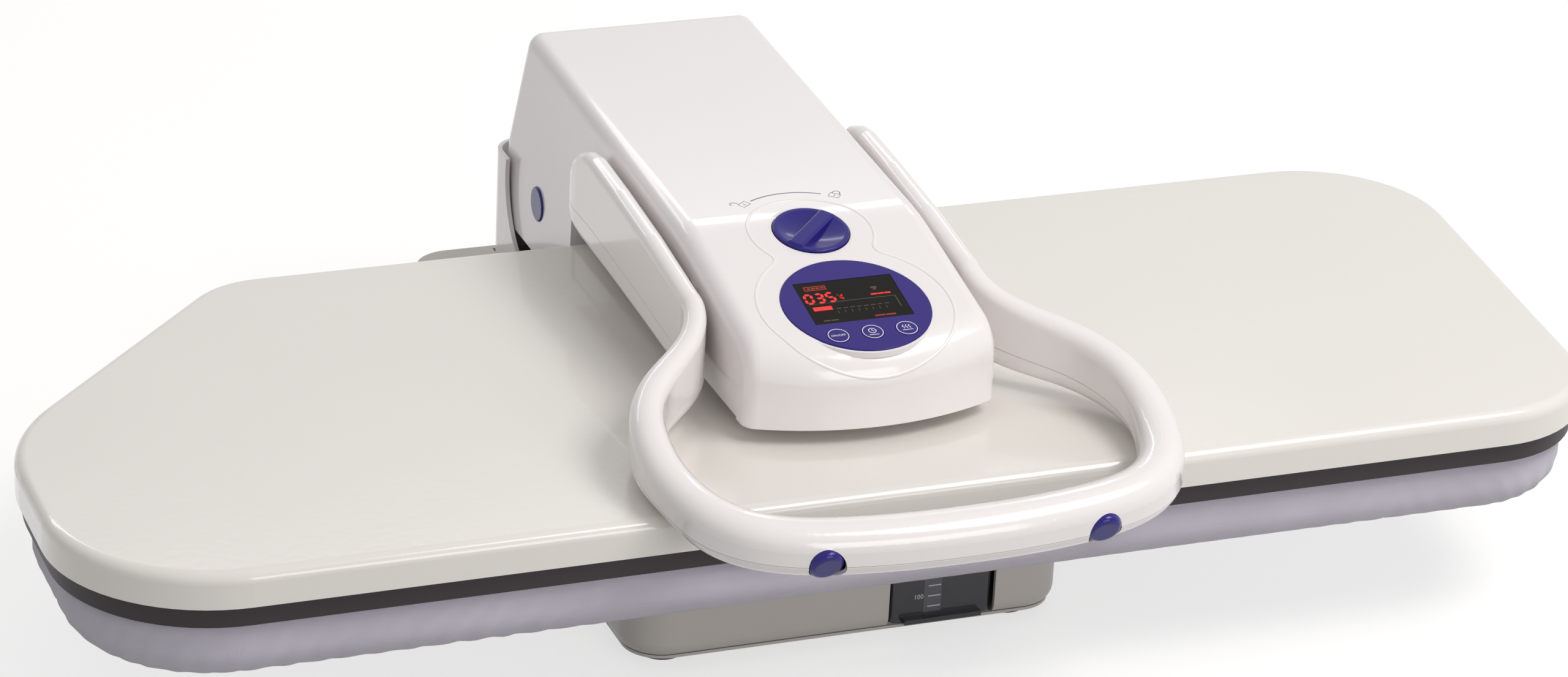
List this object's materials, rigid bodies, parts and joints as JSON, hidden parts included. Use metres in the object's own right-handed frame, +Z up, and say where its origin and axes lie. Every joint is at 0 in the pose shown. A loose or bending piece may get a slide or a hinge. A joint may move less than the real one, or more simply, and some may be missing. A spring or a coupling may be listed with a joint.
{
  "type": "steam ironing press",
  "caption": "Tabletop steam ironing press with a wide heated lid on a hinged arm, a looped pressing handle, a lock knob, a round display and a drawer water tank.",
  "frame": {"origin": "on the floor under the middle of the whole press, feet at Z = 0", "axes": "+X to the right as seen from the front, -Y to the front where the handle is, +Z up"},
  "size_m": [1.02, 0.6555, 0.2585],
  "materials": {
    "base_grey": "fine matt texture, warm light grey",
    "black_plastic": "matt",
    "rubber_black": "matt",
    "zinc_steel": "zinc plated",
    "white_cover": "glossy moulded plastic, white",
    "frame_steel": "black powder coat",
    "spring_steel": "oiled spring wire",
    "deck_steel": "grey powder coat",
    "foam": "open foam",
    "cloth": "woven heat-proof cotton, lavender grey",
    "elastic": "knitted elastic",
    "pump_plastic": "satin",
    "silicone": "translucent silicone hose",
    "circuit_green": "solder mask",
    "smoke_clear": "smoke-tinted clear plastic",
    "indigo_plastic": "high gloss, indigo",
    "scale_white": "printed white",
    "bronze": "sintered bearing bronze",
    "lcd_glass": "dark display window",
    "warm_white_lid": "glossy moulded plastic, warm white",
    "dark_plate": "dark grey heat-proof coating",
    "plate_alu": "cast and machined",
    "insulation": "ceramic fibre felt"
  },
  "bodies": {
    "base": {"base_housing": "base_grey", "base_plate": "black_plastic", "rubber_feet": "rubber_black", "foot_screws": "zinc_steel", "column_cover": "white_cover", "hinge_bracket": "frame_steel", "bracket_bolts": "zinc_steel", "hinge_pin": "zinc_steel", "spring_left": "spring_steel", "spring_right": "spring_steel", "deck_plate": "deck_steel", "deck_bolts": "zinc_steel", "foam_pad": "foam", "pad_cover": "cloth", "cover_elastic": "elastic", "pump": "pump_plastic", "pump_hoses": "silicone", "control_board": "circuit_green", "mains_inlet": "black_plastic", "tank_dock": "pump_plastic"},
    "tank": {"water_tank": "smoke_clear", "fill_cap": "indigo_plastic", "level_strip": "scale_white", "tank_valve": "pump_plastic"},
    "arm": {"head_top_cover": "white_cover", "head_bottom_cover": "white_cover", "head_screws": "zinc_steel", "arm_frame": "frame_steel", "arm_bushes": "bronze", "hinge_caps": "indigo_plastic", "shoe_pivot_pin": "zinc_steel", "handle_pivot_pins": "zinc_steel", "arm_hose": "silicone", "display_disc": "indigo_plastic", "lcd_panel": "lcd_glass", "display_board": "circuit_green", "lock_guide": "pump_plastic"},
    "key_left": {"key_left": "indigo_plastic"},
    "key_mid": {"key_mid": "indigo_plastic"},
    "key_right": {"key_right": "indigo_plastic"},
    "knob": {"lock_knob": "indigo_plastic", "lock_shaft": "zinc_steel"},
    "bolt_left": {"lock_bolt_left": "zinc_steel"},
    "bolt_right": {"lock_bolt_right": "zinc_steel"},
    "handle": {"handle_upper_shell": "white_cover", "handle_lower_shell": "white_cover", "handle_core": "zinc_steel", "handle_caps": "indigo_plastic", "handle_screws": "zinc_steel"},
    "shoe": {"lid_cover": "warm_white_lid", "plate_rim": "dark_plate", "heat_plate": "plate_alu", "heating_element": "zinc_steel", "insulation_sheet": "insulation", "thermostat": "black_plastic", "steam_inlet": "bronze", "shoe_bracket": "zinc_steel", "lid_screws": "zinc_steel"}
  },
  "joints": [
    {"name": "arm_lift", "type": "hinge", "parent": "base", "child": "arm", "pos_m": [0, 0.234, 0.149], "axis": [-1, 0, 0], "range_deg": [0, 38]},
    {"name": "shoe_tilt", "type": "hinge", "parent": "arm", "child": "shoe", "pos_m": [0, -0.049, 0.186], "axis": [-1, 0, 0], "range_deg": [-1.2, 0]},
    {"name": "handle_pull", "type": "hinge", "parent": "arm", "child": "handle", "pos_m": [0, 0.096, 0.212], "axis": [-1, 0, 0], "range_deg": [0, 12]},
    {"name": "lock_knob_turn", "type": "hinge", "parent": "arm", "child": "knob", "pos_m": [0, -0.052, 0.2406], "axis": [0, -0.1822, 0.9833], "range_deg": [-21, 71]},
    {"name": "bolt_left_slide", "type": "slide", "parent": "arm", "child": "bolt_left", "axis": [1, 0, 0], "range_m": [-0.0026, 0.0091]},
    {"name": "bolt_right_slide", "type": "slide", "parent": "arm", "child": "bolt_right", "axis": [-1, 0, 0], "range_m": [-0.0026, 0.0091]},
    {"name": "tank_slide", "type": "slide", "parent": "base", "child": "tank", "axis": [0, -1, 0], "range_m": [0, 0.13]},
    {"name": "key_left_press", "type": "slide", "parent": "arm", "child": "key_left", "axis": [0, 0.2053, -0.9787], "range_m": [0, 0.0008], "stiffness_N_per_m": 800},
    {"name": "key_mid_press", "type": "slide", "parent": "arm", "child": "key_mid", "axis": [0, 0.2053, -0.9787], "range_m": [0, 0.0008], "stiffness_N_per_m": 800},
    {"name": "key_right_press", "type": "slide", "parent": "arm", "child": "key_right", "axis": [0, 0.2053, -0.9787], "range_m": [0, 0.0008], "stiffness_N_per_m": 800}
  ],
  "couplings": [
    {"joint": "shoe_tilt", "follows": "arm_lift", "ratio": -0.03},
    {"joint": "bolt_left_slide", "follows": "bolt_right_slide", "ratio": 1},
    {"joint": "lock_knob_turn", "follows": "bolt_right_slide", "rad_per_m": 133.33}
  ]
}
